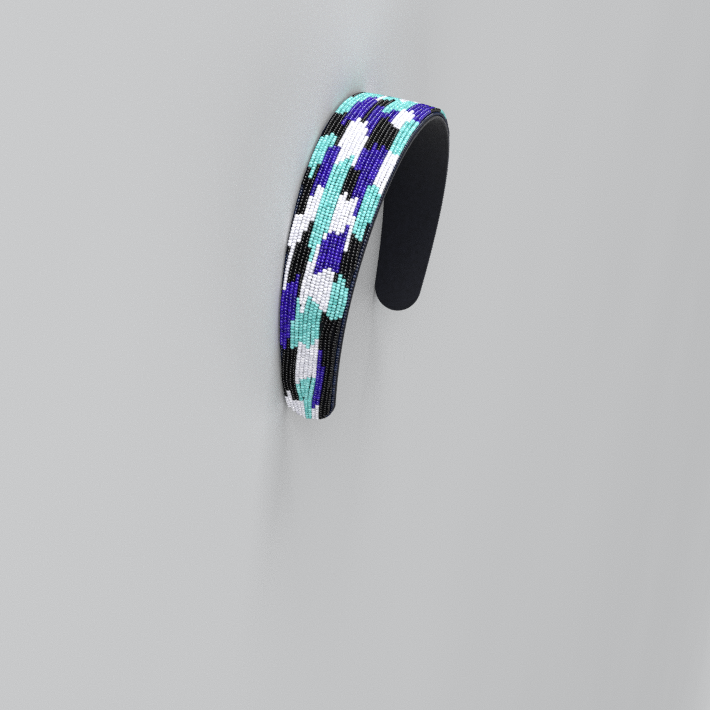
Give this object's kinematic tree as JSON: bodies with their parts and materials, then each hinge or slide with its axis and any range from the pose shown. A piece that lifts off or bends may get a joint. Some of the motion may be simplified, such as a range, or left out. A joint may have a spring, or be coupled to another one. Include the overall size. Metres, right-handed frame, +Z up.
{
  "type": "beaded headband",
  "caption": "Springy open headband that widens to the crown, its outer face paved with lengthwise strings of glass seed beads, its edges trimmed with a navy string, on a dark cloth band",
  "frame": {"origin": "middle of the bounding box's foot, on the surface that the headband lies on", "axes": "+Z up, away from that surface, from the back edge to the front edge; +X from one temple to the other; -Y points to the crown and +Y to the two tips"},
  "size_m": [0.1502, 0.1276, 0.0384],
  "materials": {
    "cloth": "matte woven cloth",
    "beads_turquoise": "opaque glossy glass",
    "beads_violet": "opaque glossy glass",
    "beads_white": "opaque glossy glass",
    "beads_black": "opaque glossy glass",
    "beads_navy": "opaque glossy glass"
  },
  "bodies": {
    "root": {"band": "cloth", "bead_face": "beads_turquoise", "edge_beads_front": "beads_navy", "edge_beads_back": "beads_navy"}
  },
  "joints": []
}
